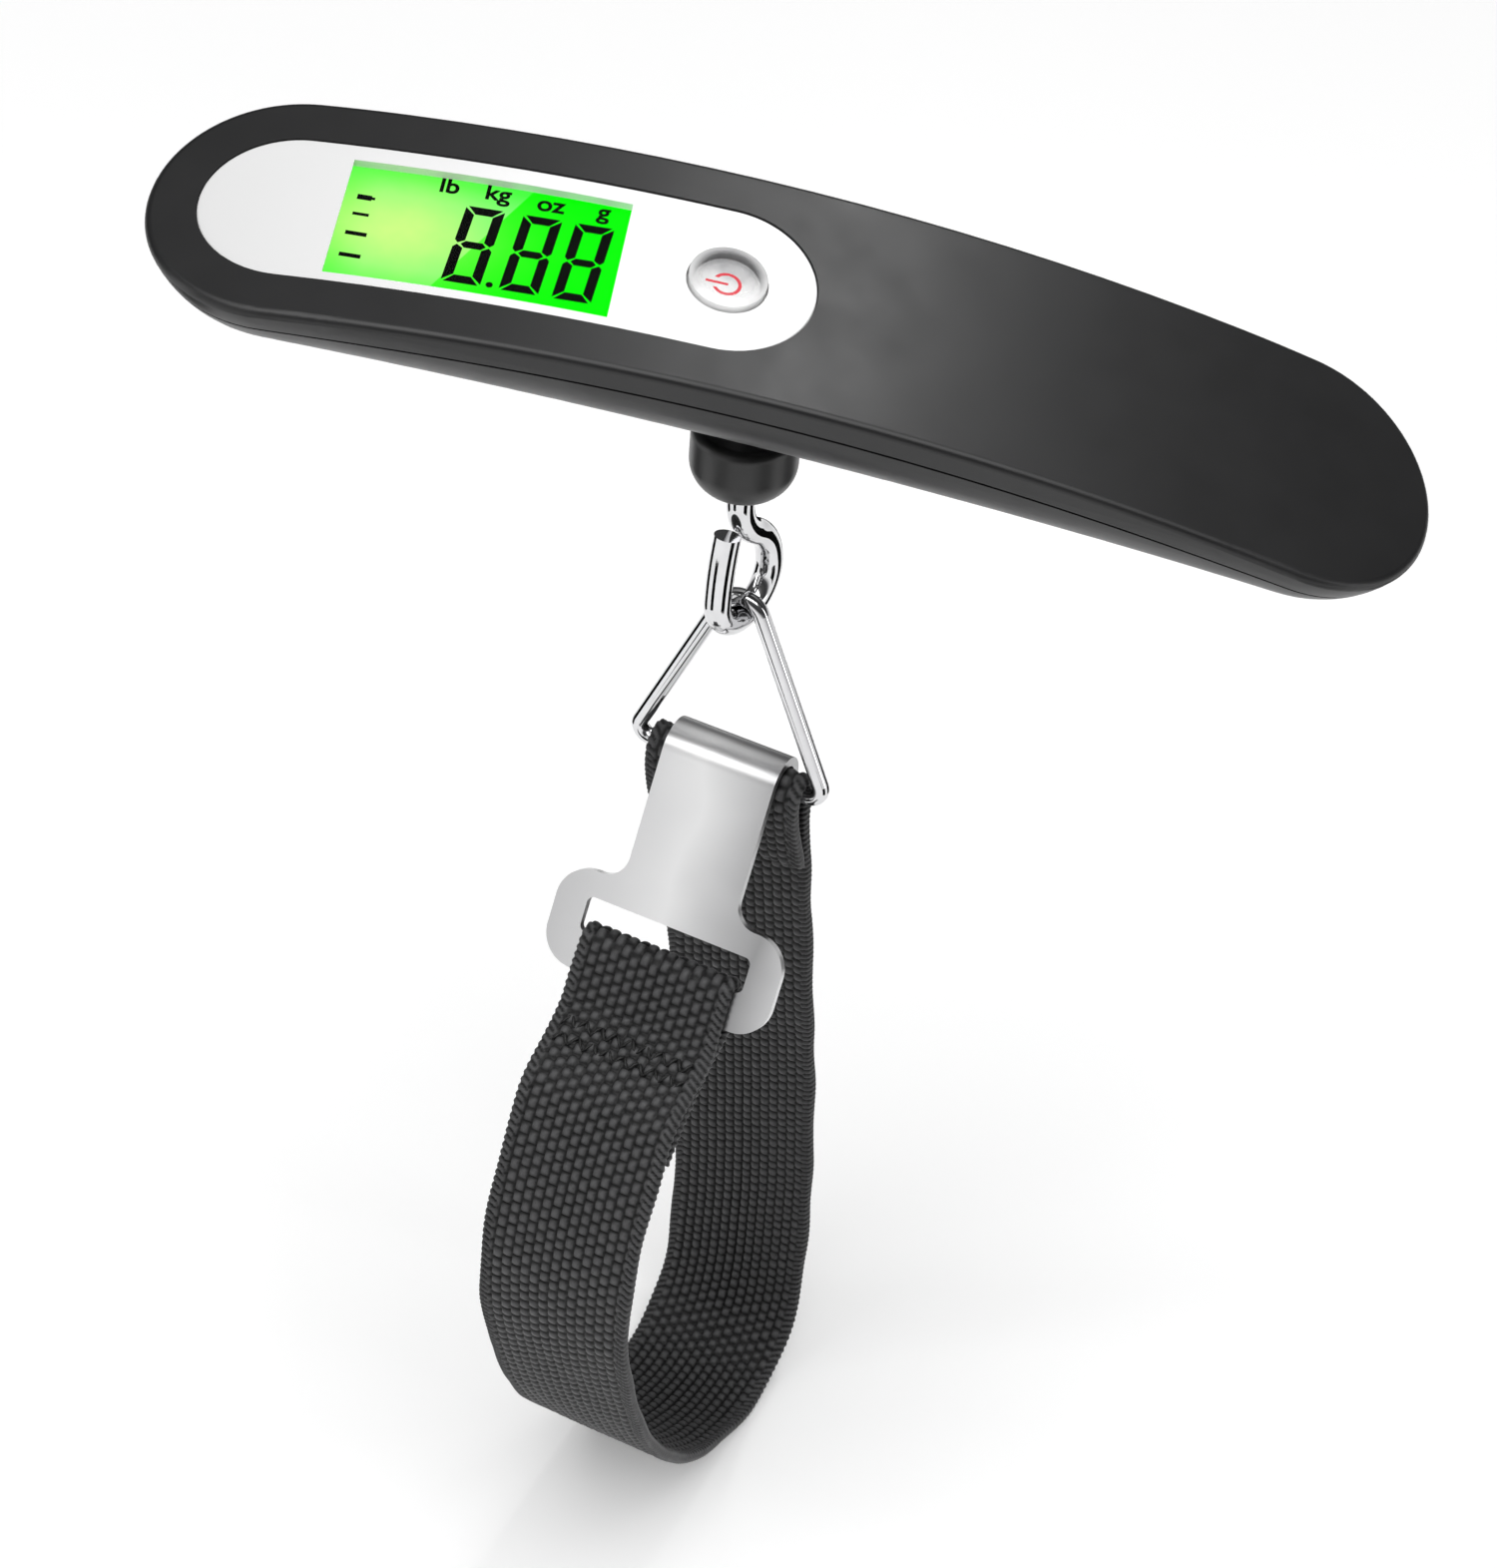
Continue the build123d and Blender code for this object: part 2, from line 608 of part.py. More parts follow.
# back end: outer layer comes up the back, over the bar, and down the inside
centre = catmull(
    [(-WRAP_R, BAR_Z), (-WRAP_R - 0.25, BAR_Z - 6.0)]
    + loop
    + [
        plate_pt(S_END + 4.6, 2.15),
        plate_pt(S_END + 1.4, 1.5),
        plate_pt((S_SLOT1 + S_END) / 2, PLATE_T / 2 + 0.12 + T / 2),
        plate_pt(S_SLOT1 + 0.6, PLATE_T / 2 + 0.12 + T / 2),
    ]
)
centre = resample(centre, 2401)
split_i = min(range(len(centre)), key=lambda i: math.dist(centre[i], loop[BOTTOM_I]))
slant = 4        # the two ends are cut along the way the plate unhooks
one = offset(centre, T / 2)
two = offset(centre, -T / 2)


def thin(points, i0, i1, n):
    """n points of a line, from number i0 to number i1."""
    return [points[round(i0 + (i1 - i0) * k / (n - 1))] for k in range(n)]


inside = [(WRAP_R, BAR_Z), (WRAP_R - 0.15, BAR_Z - 2.5), (0.6, BAR_Z - 7.0), (-1.55, BAR_Z - 13.6)]
inside = catmull(inside)


inside_up = inside[::-1]


def back_side(d, last):
    """One face line of the back end: up the inside, round the bar, down the back."""
    up = offset(inside_up, d)
    up[-1] = (WRAP_R - d, BAR_Z)
    down = thin(offset(centre, d), 0, last, 26)
    down[0] = (-WRAP_R + d, BAR_Z)
    up = [Vector(0, -f, z) for f, z in up]
    down = [Vector(0, -f, z) for f, z in down]
    top = Vector(0, 0, BAR_Z + WRAP_R - d)
    return [
        Edge.make_spline(up),
        Edge.make_three_point_arc(up[-1], top, down[0]),
        Edge.make_spline(down),
    ], up[0], down[-1]


near, near_a, near_b = back_side(T / 2, split_i - slant)
far, far_a, far_b = back_side(-T / 2, split_i + slant)
profile_face = Face(
    Wire(near + [Edge.make_line(near_b, far_b)] + far + [Edge.make_line(far_a, near_a)])
)
webbing_back = extrude(profile_face, WEB_W / 2, dir=(1, 0, 0), both=True)
put(webbing_back, "webbing_back", hang_at)

# front end: passes through the plate's slot, round its lowest bar, and is sewn to itself
mid = (S_SLOT1 + S_END) / 2
gap = 0.12
hb = (S_END - S_SLOT1) / 2 + gap
dd = PLATE_T / 2 + gap
wrap_out = []
front_layer_top = plate_pt(S_SLOT1 - gap - 0.2, dd + T / 2)
webbing_front = strip(
    thin(one, split_i + 2 - slant, len(one) - 1, 36),
    thin(two, split_i + 2 + slant, len(two) - 1, 36),
)
# the turn over the plate's lowest bar: a rounded block with the bar's own space cut out
turn = Pos(0, -CURL_R, 0) * Pos(0, 0, -(S_SLOT1 + 0.9)) * Box(
    WEB_W, 2 * (dd + T), 2 * (0.9 + gap + T)
)
outer_turn = (
    Pos(0, -CURL_R, -(S_SLOT1 - gap - T + (S_END + 1.2)) / 2)
    * Box(WEB_W, 2 * (dd + T), (S_END + 1.2) - (S_SLOT1 - gap - T))
)
outer_turn = fillet(
    outer_turn.edges().filter_by(Axis.X).sort_by(Axis.Z)[-2:], 1.25
)
bar_space = (
    Pos(0, -CURL_R, -(S_SLOT1 - gap + S_END + gap) / 2)
    * Box(WEB_W + 4, 2 * dd, S_END - S_SLOT1 + 2 * gap)
)
turn_solid = plate_frame * (outer_turn - bar_space)
webbing_front += turn_solid
back_layer = catmull(
    [
        plate_pt(S_END - 0.6, -(dd + T / 2)),
        plate_pt(S_END + 1.6, -(dd + T / 2) + 0.15),
        plate_pt(S_END + 4.8, 0.75),
        (loop[-1][0] - 1.05, loop[-1][1] - 0.95),
        (loop[-2][0] - 1.20, loop[-2][1] - 0.75),
    ]
)
webbing_front += band(back_layer, T, 12)
webbing_front -= plate_frame * bar_space
put(webbing_front, "webbing_front", hang_at)
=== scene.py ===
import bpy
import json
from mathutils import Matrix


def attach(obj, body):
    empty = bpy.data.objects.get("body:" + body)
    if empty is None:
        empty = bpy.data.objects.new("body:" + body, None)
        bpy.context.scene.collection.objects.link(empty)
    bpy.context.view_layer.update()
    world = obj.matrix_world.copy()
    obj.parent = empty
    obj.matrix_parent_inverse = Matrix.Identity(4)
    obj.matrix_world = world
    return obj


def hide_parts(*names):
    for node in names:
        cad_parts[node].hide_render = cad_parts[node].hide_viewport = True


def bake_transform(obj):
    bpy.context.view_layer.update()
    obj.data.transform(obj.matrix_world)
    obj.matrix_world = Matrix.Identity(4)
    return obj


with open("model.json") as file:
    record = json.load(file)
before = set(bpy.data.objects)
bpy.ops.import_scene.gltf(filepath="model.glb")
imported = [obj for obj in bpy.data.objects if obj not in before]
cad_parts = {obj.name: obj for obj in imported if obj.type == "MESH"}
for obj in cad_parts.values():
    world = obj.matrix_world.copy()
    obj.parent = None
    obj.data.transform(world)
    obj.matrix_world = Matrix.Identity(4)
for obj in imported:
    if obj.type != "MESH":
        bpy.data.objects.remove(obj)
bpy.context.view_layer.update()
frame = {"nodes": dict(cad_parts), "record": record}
import bpy, json, math
import numpy as np
from mathutils import Matrix, Vector

sc = bpy.context.scene
N = frame["nodes"]
MM = 0.001

# ------------------------------------------------------------ the CAD's own frames
rad = math.radians
HOUSE = Matrix.Rotation(rad(12.0), 4, "X") @ Matrix.Rotation(rad(9.8), 4, "Y")
ARCH_R = 302.0
piv = HOUSE @ Vector((-5.36, 0, -10.5))
PSI = rad(19.08)
W_DIR = Vector((math.cos(PSI), -math.sin(PSI), 0))
N_DIR = Vector((-math.sin(PSI), -math.cos(PSI), 0))
HANG = Vector((piv.x, piv.y, 0)) + 0.34 * W_DIR - 2.17 * N_DIR


def at_house(x, y, z):
    return HOUSE @ Vector((x, y, z)) * MM


def arch_frame(x, y=0.0, z=0.0):
    """Frame on the arched face at x, millimetres."""
    a = math.asin(x / ARCH_R)
    top = math.sqrt(ARCH_R**2 - x * x) - ARCH_R
    return HOUSE @ Matrix.Translation((x, 0, top)) @ Matrix.Rotation(a, 4, "Y") @ Matrix.Translation((0, y, z))


def in_m(m):
    """A millimetre frame as a metre one."""
    q = m.copy()
    q.translation = m.translation * MM
    return q


# ------------------------------------------------------------------ mesh helpers
def new_mesh(name, verts, faces, smooth=True):
    me = bpy.data.meshes.new(name)
    me.from_pydata([tuple(v) for v in verts], [], [tuple(int(i) for i in f) for f in faces])
    me.validate()
    me.update()
    if smooth:
        me.polygons.foreach_set("use_smooth", [True] * len(me.polygons))
    ob = bpy.data.objects.new(name, me)
    sc.collection.objects.link(ob)
    return ob


def give(ob, mat):
    ob.data.materials.clear()
    ob.data.materials.append(mat)


def slab(name, polys, frame_m, z0, z1):
    """Flat prisms over 2-D outlines (mm) in a frame, from z0 to z1."""
    verts, faces = [], []
    for poly in polys:
        n = len(poly)
        b = len(verts)
        for z in (z0, z1):
            for x, y in poly:
                verts.append(frame_m @ Vector((x, y, z)) * MM)
        faces.append([b + n + i for i in range(n)])
        faces.append([b + n - 1 - i for i in range(n)])
        for i in range(n):
            j = (i + 1) % n
            faces.append([b + i, b + j, b + n + j, b + n + i])
    return new_mesh(name, verts, faces, smooth=False)


# -------------------------------------------------------------------- materials
def nodes_of(name):
    m = bpy.data.materials.new(name)
    m.use_nodes = True
    nt = m.node_tree
    bsdf = nt.nodes["Principled BSDF"]
    return m, nt, bsdf


def link(nt, a, b):
    nt.links.new(a, b)


def ramp(nt, src, stops):
    r = nt.nodes.new("ShaderNodeValToRGB")
    e = r.color_ramp.elements
    while len(e) < len(stops):
        e.new(0.5)
    for el, (p, c) in zip(e, stops):
        el.position = p
        el.color = (c[0], c[1], c[2], 1)
    link(nt, src, r.inputs[0])
    return r.outputs[0]


def math_node(nt, op, a, b=None, c=None, clamp=False):
    m = nt.nodes.new("ShaderNodeMath")
    m.operation = op
    m.use_clamp = clamp
    for i, v in enumerate((a, b, c)):
        if v is None:
            continue
        if isinstance(v, (int, float)):
            m.inputs[i].default_value = v
        else:
            link(nt, v, m.inputs[i])
    return m.outputs[0]


def coords(nt, obj=None, scale=(1, 1, 1)):
    tc = nt.nodes.new("ShaderNodeTexCoord")
    if obj is not None:
        tc.object = obj
    mp = nt.nodes.new("ShaderNodeMapping")
    mp.inputs["Scale"].default_value = scale
    link(nt, tc.outputs["Object"], mp.inputs["Vector"])
    return mp.outputs[0]


def noise(nt, vec, scale, detail=3.0, rough=0.55):
    n = nt.nodes.new("ShaderNodeTexNoise")
    n.inputs["Scale"].default_value = scale
    n.inputs["Detail"].default_value = detail
    n.inputs["Roughness"].default_value = rough
    link(nt, vec, n.inputs["Vector"])
    return n.outputs["Fac"]


def rng(nt, src, lo, hi, a=0.3, b=0.7):
    m = nt.nodes.new("ShaderNodeMapRange")
    m.inputs["From Min"].default_value = a
    m.inputs["From Max"].default_value = b
    m.inputs["To Min"].default_value = lo
    m.inputs["To Max"].default_value = hi
    link(nt, src, m.inputs["Value"])
    return m.outputs[0]


def surface(name, c0, c1, r0, r1, metal=0.0, scale=60.0, stretch=(1, 1, 1), bump=0.0, bump_scale=900.0, coat=0.0, spec=0.5, obj=None, dist=0.00005):
    """A procedural finish: colour and roughness vary with noise, with a fine bump."""
    m, nt, b = nodes_of(name)
    v = coords(nt, obj, stretch)
    n1 = noise(nt, v, scale)
    n2 = noise(nt, v, scale * 3.1, 2.0)
    link(nt, ramp(nt, n1, [(0.3, c0), (0.7, c1)]), b.inputs["Base Color"])
    link(nt, rng(nt, n2, r0, r1), b.inputs["Roughness"])
    b.inputs["Metallic"].default_value = metal
    b.inputs["Specular IOR Level"].default_value = spec
    if coat:
        b.inputs["Coat Weight"].default_value = coat
        b.inputs["Coat Roughness"].default_value = 0.06
    if bump:
        bp = nt.nodes.new("ShaderNodeBump")
        bp.inputs["Strength"].default_value = bump
        bp.inputs["Distance"].default_value = dist
        link(nt, noise(nt, v, bump_scale, 2.0), bp.inputs["Height"])
        link(nt, bp.outputs[0], b.inputs["Normal"])
    return m


def marker(name, m):
    """An empty that carries a shader's coordinates."""
    e = bpy.data.objects.new(name, None)
    sc.collection.objects.link(e)
    e.matrix_world = m
    e.empty_display_size = 0.002
    return e


lcd_m = in_m(arch_frame(-39.12, -0.54))
btn_m = in_m(arch_frame(-10.4, -0.3))
lcd_axes = marker("lcd_axes", lcd_m)
btn_axes = marker("btn_axes", btn_m)
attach(lcd_axes, "housing")
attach(btn_axes, "button")

M = {}
M["case_black"] = surface("case_black", (0.009, 0.009, 0.0095), (0.012, 0.012, 0.0125), 0.34, 0.40, scale=40, bump=0.12, bump_scale=5200, dist=0.00002, spec=0.45)
M["panel_white"] = surface("panel_white", (0.80, 0.80, 0.80), (0.84, 0.84, 0.84), 0.16, 0.22, scale=30, spec=0.5)
# painted shade: the white panel's base colour runs from grey at the left end to near white at the right, with a little
# noise
m, nt, b = nodes_of("panel_white")
v = coords(nt, lcd_axes, (1000, 1000, 1000))
s_ = nt.nodes.new("ShaderNodeSeparateXYZ")
link(nt, v, s_.inputs[0])
pn = noise(nt, v, 0.03, 2.0)
panel_shade_sweep = math_node(nt, "ADD", math_node(nt, "MULTIPLY", math_node(nt, "ADD", s_.outputs[0], 36.0), 1 / 80.0), math_node(nt, "MULTIPLY", math_node(nt, "SUBTRACT", pn, 0.5), 0.15))
link(nt, ramp(nt, panel_shade_sweep, [(0.0, (0.70, 0.70, 0.70)), (0.25, (0.76, 0.76, 0.76)), (0.6, (0.93, 0.93, 0.93)), (1.0, (0.95, 0.95, 0.95))]), b.inputs["Base Color"])
link(nt, rng(nt, noise(nt, v, 0.2), 0.18, 0.24), b.inputs["Roughness"])
M["panel_white"] = m
M["silicone_grey"] = surface("silicone_grey", (0.2, 0.2, 0.21), (0.3, 0.3, 0.31), 0.6, 0.7, scale=300)
M["board_green"] = surface("board_green", (0.01, 0.09, 0.03), (0.02, 0.14, 0.05), 0.3, 0.4, scale=200)
M["epoxy_black"] = surface("epoxy_black", (0.008, 0.008, 0.008), (0.015, 0.015, 0.015), 0.12, 0.2, scale=120)
M["switch_steel"] = surface("switch_steel", (0.5, 0.5, 0.5), (0.62, 0.62, 0.62), 0.25, 0.4, metal=1, scale=300)
M["cell_aluminium"] = surface("cell_aluminium", (0.68, 0.69, 0.71), (0.78, 0.79, 0.8), 0.25, 0.4, metal=1, scale=200, stretch=(0.2, 1, 1))
M["gauge_film"] = surface("gauge_film", (0.55, 0.33, 0.08), (0.7, 0.42, 0.1), 0.3, 0.4, scale=400)
M["cell_steel"] = surface("cell_steel", (0.42, 0.42, 0.44), (0.55, 0.55, 0.57), 0.28, 0.42, metal=1, scale=200)
M["screw_steel"] = surface("screw_steel", (0.4, 0.4, 0.42), (0.55, 0.55, 0.57), 0.25, 0.4, metal=1, scale=300)
M["tray_black"] = surface("tray_black", (0.012, 0.012, 0.012), (0.02, 0.02, 0.02), 0.5, 0.6, scale=100)
M["coin_steel"] = surface("coin_steel", (0.6, 0.6, 0.58), (0.7, 0.7, 0.68), 0.2, 0.3, metal=1, scale=200)
M["contact_nickel"] = surface("contact_nickel", (0.62, 0.58, 0.5), (0.7, 0.66, 0.58), 0.2, 0.3, metal=1, scale=200)
M["wire_insulation"] = surface("wire_insulation", (0.5, 0.5, 0.5), (0.6, 0.6, 0.6), 0.4, 0.5, scale=200)
M["wire_red"] = surface("wire_red", (0.4, 0.02, 0.02), (0.5, 0.03, 0.03), 0.4, 0.5, scale=200)
M["collar_black"] = surface("collar_black", (0.006, 0.006, 0.006), (0.009, 0.009, 0.009), 0.34, 0.40, scale=60, bump=0.08, bump_scale=4000, dist=0.00002, spec=0.5)
M["washer_nylon"] = surface("washer_nylon", (0.7, 0.7, 0.66), (0.78, 0.77, 0.74), 0.4, 0.5, scale=200)
M["hook_chrome"] = surface("hook_chrome", (0.64, 0.64, 0.65), (0.72, 0.72, 0.73), 0.045, 0.085, metal=1, scale=150)
M["light_guide"] = surface("light_guide", (0.4, 0.85, 0.3), (0.5, 0.95, 0.4), 0.3, 0.4, scale=100)

# satin stainless: a painted highlight and painted shade swept across the width, fine brushing
plate_m = Matrix.Translation(HANG * MM) @ Matrix((W_DIR, -N_DIR, Vector((0, 0, 1)))).transposed().to_4x4()
plate_axes = marker("plate_axes", plate_m)
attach(plate_axes, "strap_plate")
m, nt, b = nodes_of("plate_steel")
v = coords(nt, plate_axes, (1000, 1000, 1000))
s_ = nt.nodes.new("ShaderNodeSeparateXYZ")
link(nt, v, s_.inputs[0])
n1 = noise(nt, v, 0.06, 2.0)
fine = coords(nt, plate_axes, (300, 9000, 9000))
n2 = noise(nt, fine, 1.0, 2.0)
# painted highlight and shade: a bright band left of the middle, a dark band to its right
plate_light_sweep = math_node(nt, "ADD", math_node(nt, "MULTIPLY", s_.outputs[0], 1 / 34.0), 0.5)
plate_painted_light = math_node(nt, "ADD", plate_light_sweep, math_node(nt, "MULTIPLY", math_node(nt, "SUBTRACT", n1, 0.5), 0.2))
link(nt, ramp(nt, plate_painted_light, [(0.0, (0.66, 0.66, 0.665)), (0.22, (0.80, 0.80, 0.805)), (0.45, (0.97, 0.97, 0.97)), (0.66, (0.66, 0.66, 0.665)), (0.84, (0.40, 0.40, 0.405)), (1.0, (0.80, 0.80, 0.805))]), b.inputs["Base Color"])
link(nt, rng(nt, n2, 0.30, 0.35), b.inputs["Roughness"])
b.inputs["Metallic"].default_value = 1.0
M["plate_steel"] = m


# the lit display: green rim, yellow-green glow at the left, a painted glare to the right (a reflection painted into the
# display's light)
def painted_lcd():
    m, nt, b = nodes_of("lcd_green")
    v = coords(nt, lcd_axes, (1000, 1000, 1000))
    s = nt.nodes.new("ShaderNodeSeparateXYZ")
    link(nt, v, s.inputs[0])
    x, y = s.outputs[0], s.outputs[1]
    dx = math_node(nt, "MULTIPLY", math_node(nt, "ADD", x, 9.5), 1 / 12.5)
    dy = math_node(nt, "MULTIPLY", math_node(nt, "ADD", y, -0.3), 1 / 8.5)
    r2 = math_node(nt, "ADD", math_node(nt, "MULTIPLY", dx, dx), math_node(nt, "MULTIPLY", dy, dy))
    glow = math_node(nt, "POWER", 2.718, math_node(nt, "MULTIPLY", r2, -1.6))
    # a painted glare, a pale reflection painted into the display's light, fills the part left of a slanted line
    cut = math_node(nt, "SUBTRACT", math_node(nt, "ADD", math_node(nt, "MULTIPLY", y, 0.513), -0.39), x)
    painted_glare = rng(nt, cut, 0.0, 1.0, -0.08, 0.08)
    n1 = noise(nt, v, 0.35, 2.0)
    inner = math_node(nt, "MULTIPLY", rng(nt, math_node(nt, "ABSOLUTE", y), 1.0, 0.0, 5.5, 8.8), rng(nt, math_node(nt, "ABSOLUTE", x), 1.0, 0.0, 12.4, 15.8))
    c0 = nt.nodes.new("ShaderNodeMixRGB")
    c0.inputs[1].default_value = (0.0, 0.98, 0.0, 1)
    c0.inputs[2].default_value = (0.17, 1.0, 0.17, 1)
    link(nt, math_node(nt, "MULTIPLY", painted_glare, math_node(nt, "ADD", math_node(nt, "MULTIPLY", inner, 0.7), 0.3), clamp=True), c0.inputs[0])
    c2 = nt.nodes.new("ShaderNodeMixRGB")
    c2.inputs[2].default_value = (0.66, 1.0, 0.25, 1)
    link(nt, c0.outputs[0], c2.inputs[1])
    part = math_node(nt, "ADD", math_node(nt, "MULTIPLY", painted_glare, 0.60), 0.40)
    link(nt, math_node(nt, "MULTIPLY", math_node(nt, "MULTIPLY", glow, part), rng(nt, n1, 0.86, 0.98), clamp=True), c2.inputs[0])
    b.inputs["Specular IOR Level"].default_value = 0.02
    link(nt, ramp(nt, n1, [(0.3, (0.0, 0.03, 0.0)), (0.7, (0.001, 0.05, 0.001))]), b.inputs["Base Color"])
    b.inputs["Roughness"].default_value = 0.3
    link(nt, c2.outputs[0], b.inputs["Emission Color"])
    b.inputs["Emission Strength"].default_value = 1.0
    return m


M["lcd_green"] = painted_lcd()

# clear window over the display
m = bpy.data.materials.new("lens_clear")
m.use_nodes = True
nt = m.node_tree
b = nt.nodes["Principled BSDF"]
out = nt.nodes["Material Output"]
tr = nt.nodes.new("ShaderNodeBsdfTransparent")
mix = nt.nodes.new("ShaderNodeMixShader")
v = coords(nt)
link(nt, ramp(nt, noise(nt, v, 40.0), [(0.3, (0.88, 0.92, 0.88)), (0.7, (0.94, 0.98, 0.94))]), b.inputs["Base Color"])
b.inputs["Metallic"].default_value = 1.0
b.inputs["Roughness"].default_value = 0.05
mix.inputs[0].default_value = 0.004
link(nt, tr.outputs[0], mix.inputs[1])
link(nt, b.outputs[0], mix.inputs[2])
link(nt, mix.outputs[0], out.inputs["Surface"])
M["lens_clear"] = m

# clear dome of the button: see-through over the sign, milky towards its rim
m = bpy.data.materials.new("button_clear")
m.use_nodes = True
nt = m.node_tree
b = nt.nodes["Principled BSDF"]
out = nt.nodes["Material Output"]
tr = nt.nodes.new("ShaderNodeBsdfTransparent")
mix = nt.nodes.new("ShaderNodeMixShader")
v = coords(nt, btn_axes, (1000, 1000, 1000))
s_ = nt.nodes.new("ShaderNodeSeparateXYZ")
link(nt, v, s_.inputs[0])
rr = math_node(nt, "SQRT", math_node(nt, "ADD", math_node(nt, "MULTIPLY", s_.outputs[0], s_.outputs[0]), math_node(nt, "MULTIPLY", s_.outputs[1], s_.outputs[1])))
# painted shade: the dome's base colour is darker towards +y and lighter towards -y, with noise
link(nt, ramp(nt, math_node(nt, "ADD", math_node(nt, "MULTIPLY", s_.outputs[1], -0.10), noise(nt, v, 0.3)), [(0.0, (0.50, 0.50, 0.51)), (0.6, (0.82, 0.82, 0.82)), (1.0, (0.95, 0.95, 0.95))]), b.inputs["Base Color"])
b.inputs["Roughness"].default_value = 0.06
link(nt, rng(nt, rr, 0.05, 0.80, 3.1, 4.3), mix.inputs[0])
link(nt, tr.outputs[0], mix.inputs[1])
link(nt, b.outputs[0], mix.inputs[2])
link(nt, mix.outputs[0], out.inputs["Surface"])
M["button_clear"] = m


# the insert under the dome: silvery disc with a generic red on/off sign; its grey is painted shade, darker towards +y,
# and the whole insert glows faintly, painted light
def painted_insert():
    m, nt, b = nodes_of("button_red")
    v = coords(nt, btn_axes, (1000, 1000, 1000))
    s = nt.nodes.new("ShaderNodeSeparateXYZ")
    link(nt, v, s.inputs[0])
    x, y = s.outputs[0], s.outputs[1]
    r = math_node(nt, "SQRT", math_node(nt, "ADD", math_node(nt, "MULTIPLY", x, x), math_node(nt, "MULTIPLY", y, y)))
    ring = math_node(nt, "LESS_THAN", math_node(nt, "ABSOLUTE", math_node(nt, "SUBTRACT", r, 1.52)), 0.21)
    # the gap of the ring faces the handle's left end, with the bar in it
    gap = math_node(nt, "MULTIPLY", math_node(nt, "LESS_THAN", x, 0.0), math_node(nt, "LESS_THAN", math_node(nt, "ABSOLUTE", y), 0.75))
    ring = math_node(nt, "MULTIPLY", ring, math_node(nt, "SUBTRACT", 1.0, gap))
    bar = math_node(nt, "MULTIPLY", math_node(nt, "LESS_THAN", math_node(nt, "ABSOLUTE", y), 0.19), math_node(nt, "MULTIPLY", math_node(nt, "LESS_THAN", x, 0.15), math_node(nt, "GREATER_THAN", x, -2.5)))
    sign = math_node(nt, "MAXIMUM", ring, bar)
    base = nt.nodes.new("ShaderNodeMixRGB")
    # painted shade: the disc's grey runs darker towards +y
    link(nt, ramp(nt, math_node(nt, "ADD", math_node(nt, "MULTIPLY", y, -0.12), noise(nt, v, 0.4)), [(0.0, (0.34, 0.34, 0.35)), (0.5, (0.62, 0.62, 0.62)), (1.0, (0.86, 0.86, 0.86))]), base.inputs[1])
    base.inputs[2].default_value = (0.60, 0.003, 0.022, 1)
    link(nt, sign, base.inputs[0])
    link(nt, base.outputs[0], b.inputs["Base Color"])
    b.inputs["Roughness"].default_value = 0.35
    b.inputs["Specular IOR Level"].default_value = 0.03
    # painted light: the insert and its sign glow with their own colour
    link(nt, base.outputs[0], b.inputs["Emission Color"])
    b.inputs["Emission Strength"].default_value = 0.22
    return m


M["button_red"] = painted_insert()


# woven webbing: the mesh carries the weave, the shader adds fibres, painted shade in the valleys and painted highlights
# on the knot tops
def webbing_mat(name, k=1.0):
    m, nt, b = nodes_of(name)
    at = nt.nodes.new("ShaderNodeAttribute")
    at.attribute_name = "weave"
    uv = nt.nodes.new("ShaderNodeUVMap")
    uv.uv_map = "UVMap"
    mp = nt.nodes.new("ShaderNodeMapping")
    mp.inputs["Scale"].default_value = (9.0, 1.6, 1.0)
    link(nt, uv.outputs[0], mp.inputs[0])
    fib = noise(nt, mp.outputs[0], 1.0, 3.0, 0.6)
    mp2 = nt.nodes.new("ShaderNodeMapping")
    mp2.inputs["Scale"].default_value = (0.8, 0.8, 1.0)
    link(nt, uv.outputs[0], mp2.inputs[0])
    blot = noise(nt, mp2.outputs[0], 1.0, 2.0)
    h = math_node(nt, "ADD", math_node(nt, "MULTIPLY", at.outputs["Fac"], 0.72), math_node(nt, "MULTIPLY", fib, 0.28))
    h2 = math_node(nt, "ADD", h, math_node(nt, "MULTIPLY", math_node(nt, "SUBTRACT", blot, 0.5), 0.25))
    # painted shade in the weave's valleys and painted highlights on the knot tops, mixed with fibre noise
    link(nt, ramp(nt, h2, [(0.24, (0.0006 * k,) * 3), (0.50, (0.0085 * k, 0.0085 * k, 0.0088 * k)), (0.86, (0.070 * k, 0.070 * k, 0.072 * k))]), b.inputs["Base Color"])
    link(nt, rng(nt, fib, 0.42, 0.66), b.inputs["Roughness"])
    b.inputs["Sheen Weight"].default_value = 0.12
    b.inputs["Sheen Roughness"].default_value = 0.4
    b.inputs["Specular IOR Level"].default_value = 0.35
    bp = nt.nodes.new("ShaderNodeBump")
    bp.inputs["Strength"].default_value = 0.5
    bp.inputs["Distance"].default_value = 0.00008
    link(nt, fib, bp.inputs["Height"])
    link(nt, bp.outputs[0], b.inputs["Normal"])
    return m


M["webbing_black"] = webbing_mat("webbing_black")
THREAD = surface("thread_black", (0.004, 0.004, 0.004), (0.012, 0.012, 0.012), 0.5, 0.7, scale=900, bump=0.4, bump_scale=6000)
INK = surface("display_ink", (0.0006, 0.0008, 0.0006), (0.002, 0.0025, 0.002), 0.5, 0.6, scale=400, spec=0.02)

slot_of = {}
for sp in frame["record"]["subparts"]:
    slot_of[sp["node"]] = sp["material_slot"]
for node, ob in N.items():
    give(ob, M[slot_of[node]])
    ob.data.polygons.foreach_set("use_smooth", [True] * len(ob.data.polygons))
    ob.data.set_sharp_from_angle(angle=rad(28))

